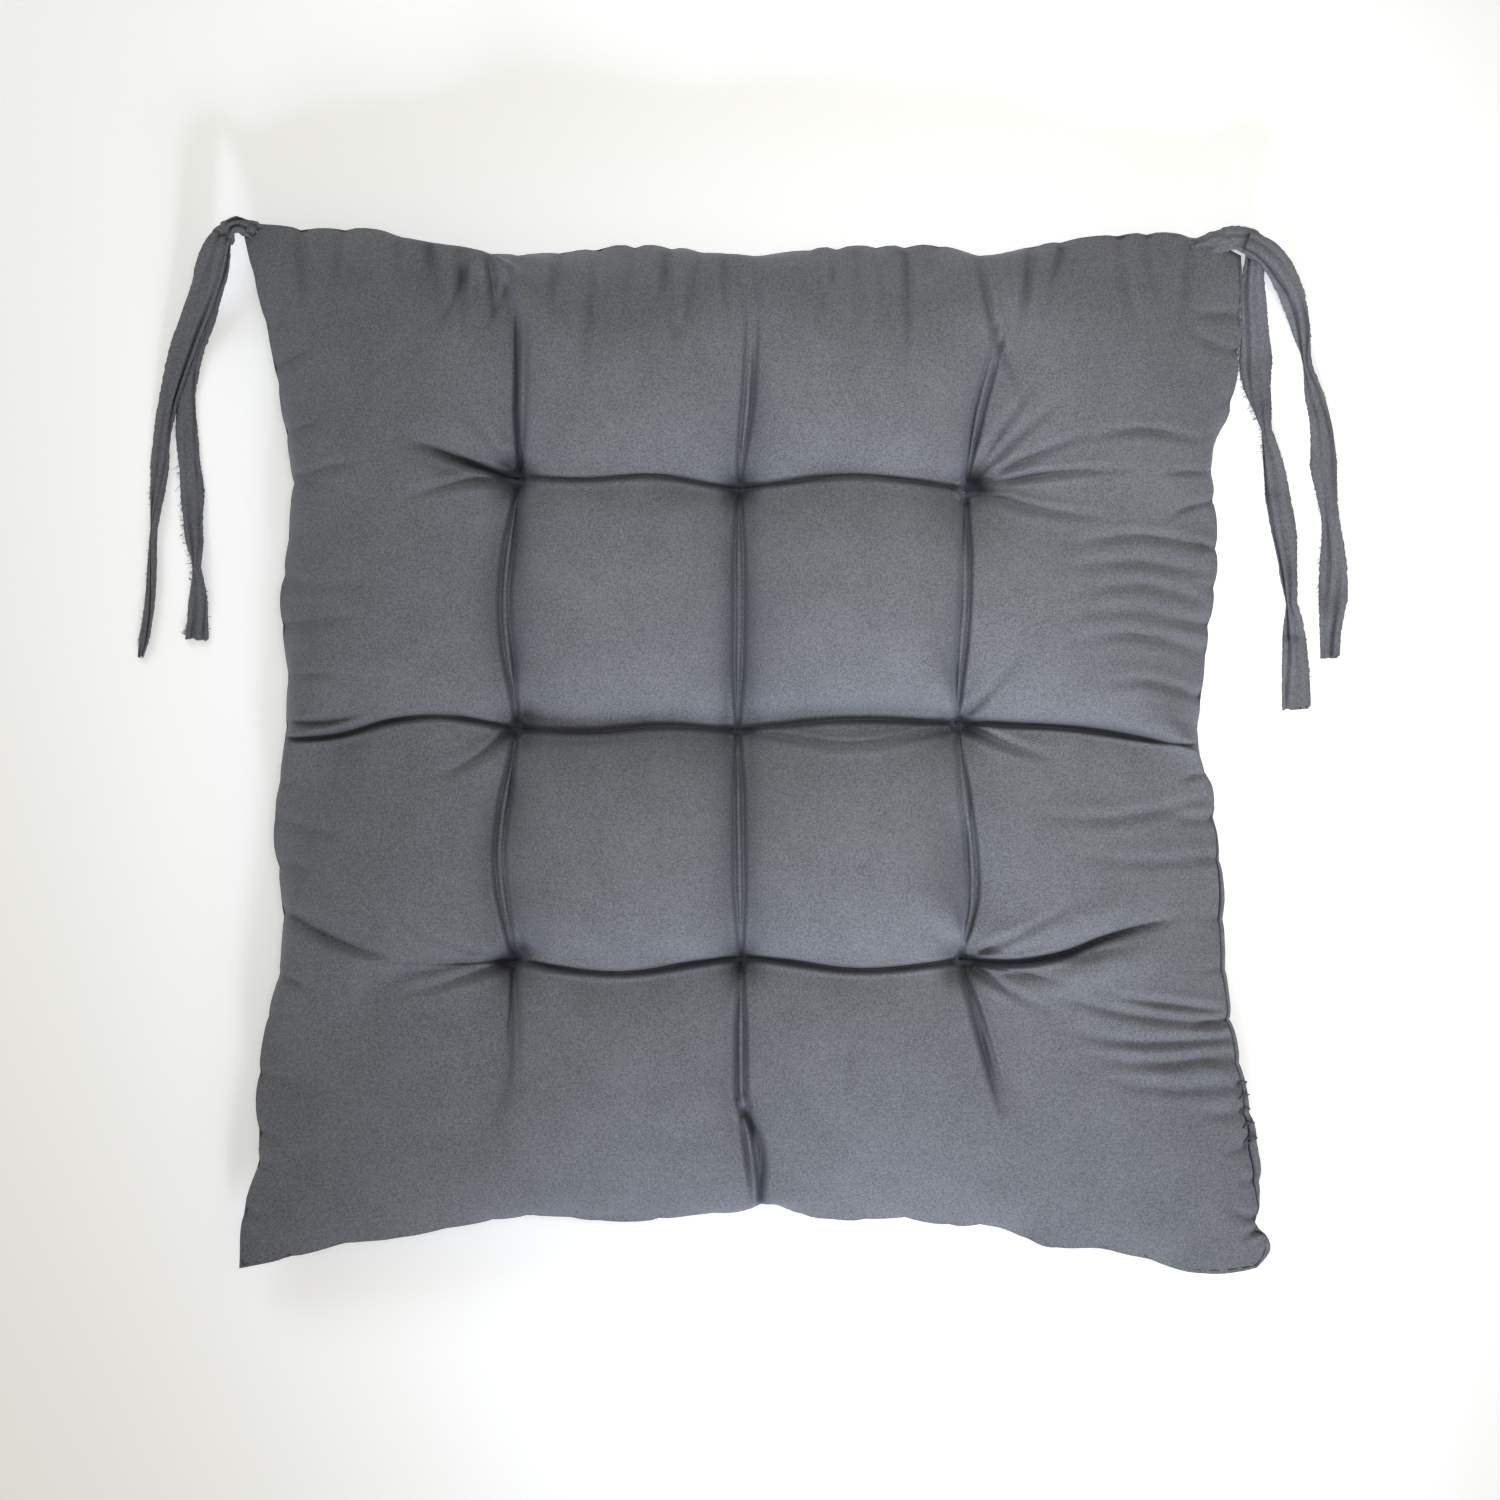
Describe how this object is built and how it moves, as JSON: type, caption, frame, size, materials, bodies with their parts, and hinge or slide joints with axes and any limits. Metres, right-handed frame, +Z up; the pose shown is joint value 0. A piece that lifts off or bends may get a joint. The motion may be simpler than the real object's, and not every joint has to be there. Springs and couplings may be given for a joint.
{
  "type": "chair seat pad",
  "caption": "Square knife-edge chair cushion with thread tufts pulling it into puffed cells, and pairs of fabric tie strips at the two back corners.",
  "frame": {"origin": "middle of the pad's footprint, without its ties, on the surface that the pad lies on", "axes": "+Z up out of the seat, +Y towards the chair's back, where the ties are, +X to the right for someone who stands in front of the chair and faces it"},
  "size_m": [0.4784, 0.408, 0.058],
  "materials": {
    "cover_fabric": "matte",
    "tie_fabric": "matte",
    "wadding": "matte",
    "seam_thread": "satin",
    "tuft_thread": "satin"
  },
  "bodies": {
    "pad": {"top_cover": "cover_fabric", "bottom_cover": "cover_fabric", "fibre_filling": "wadding", "perimeter_seam_thread": "seam_thread", "closing_seam_thread": "seam_thread", "tuft_thread_front_left": "tuft_thread", "tuft_thread_front_centre": "tuft_thread", "tuft_thread_front_right": "tuft_thread", "tuft_thread_middle_left": "tuft_thread", "tuft_thread_middle_centre": "tuft_thread", "tuft_thread_middle_right": "tuft_thread", "tuft_thread_back_left": "tuft_thread", "tuft_thread_back_centre": "tuft_thread", "tuft_thread_back_right": "tuft_thread", "tie_tab_left": "tie_fabric", "tie_tab_right": "tie_fabric", "bartack_thread_left": "seam_thread", "bartack_thread_right": "seam_thread"},
    "left_ties": {"tie_left_outer": "tie_fabric", "tie_left_inner": "tie_fabric"},
    "right_ties": {"tie_right_inner": "tie_fabric", "tie_right_outer": "tie_fabric"}
  },
  "joints": [
    {"name": "left_ties_swing", "type": "hinge", "parent": "pad", "child": "left_ties", "pos_m": [-0.205, 0.199, 0.0174], "axis": [0, 0, 1], "range_deg": [-135, 0]},
    {"name": "right_ties_swing", "type": "hinge", "parent": "pad", "child": "right_ties", "pos_m": [0.197, 0.192, 0.017], "axis": [0, 0, 1], "range_deg": [0, 135]}
  ]
}
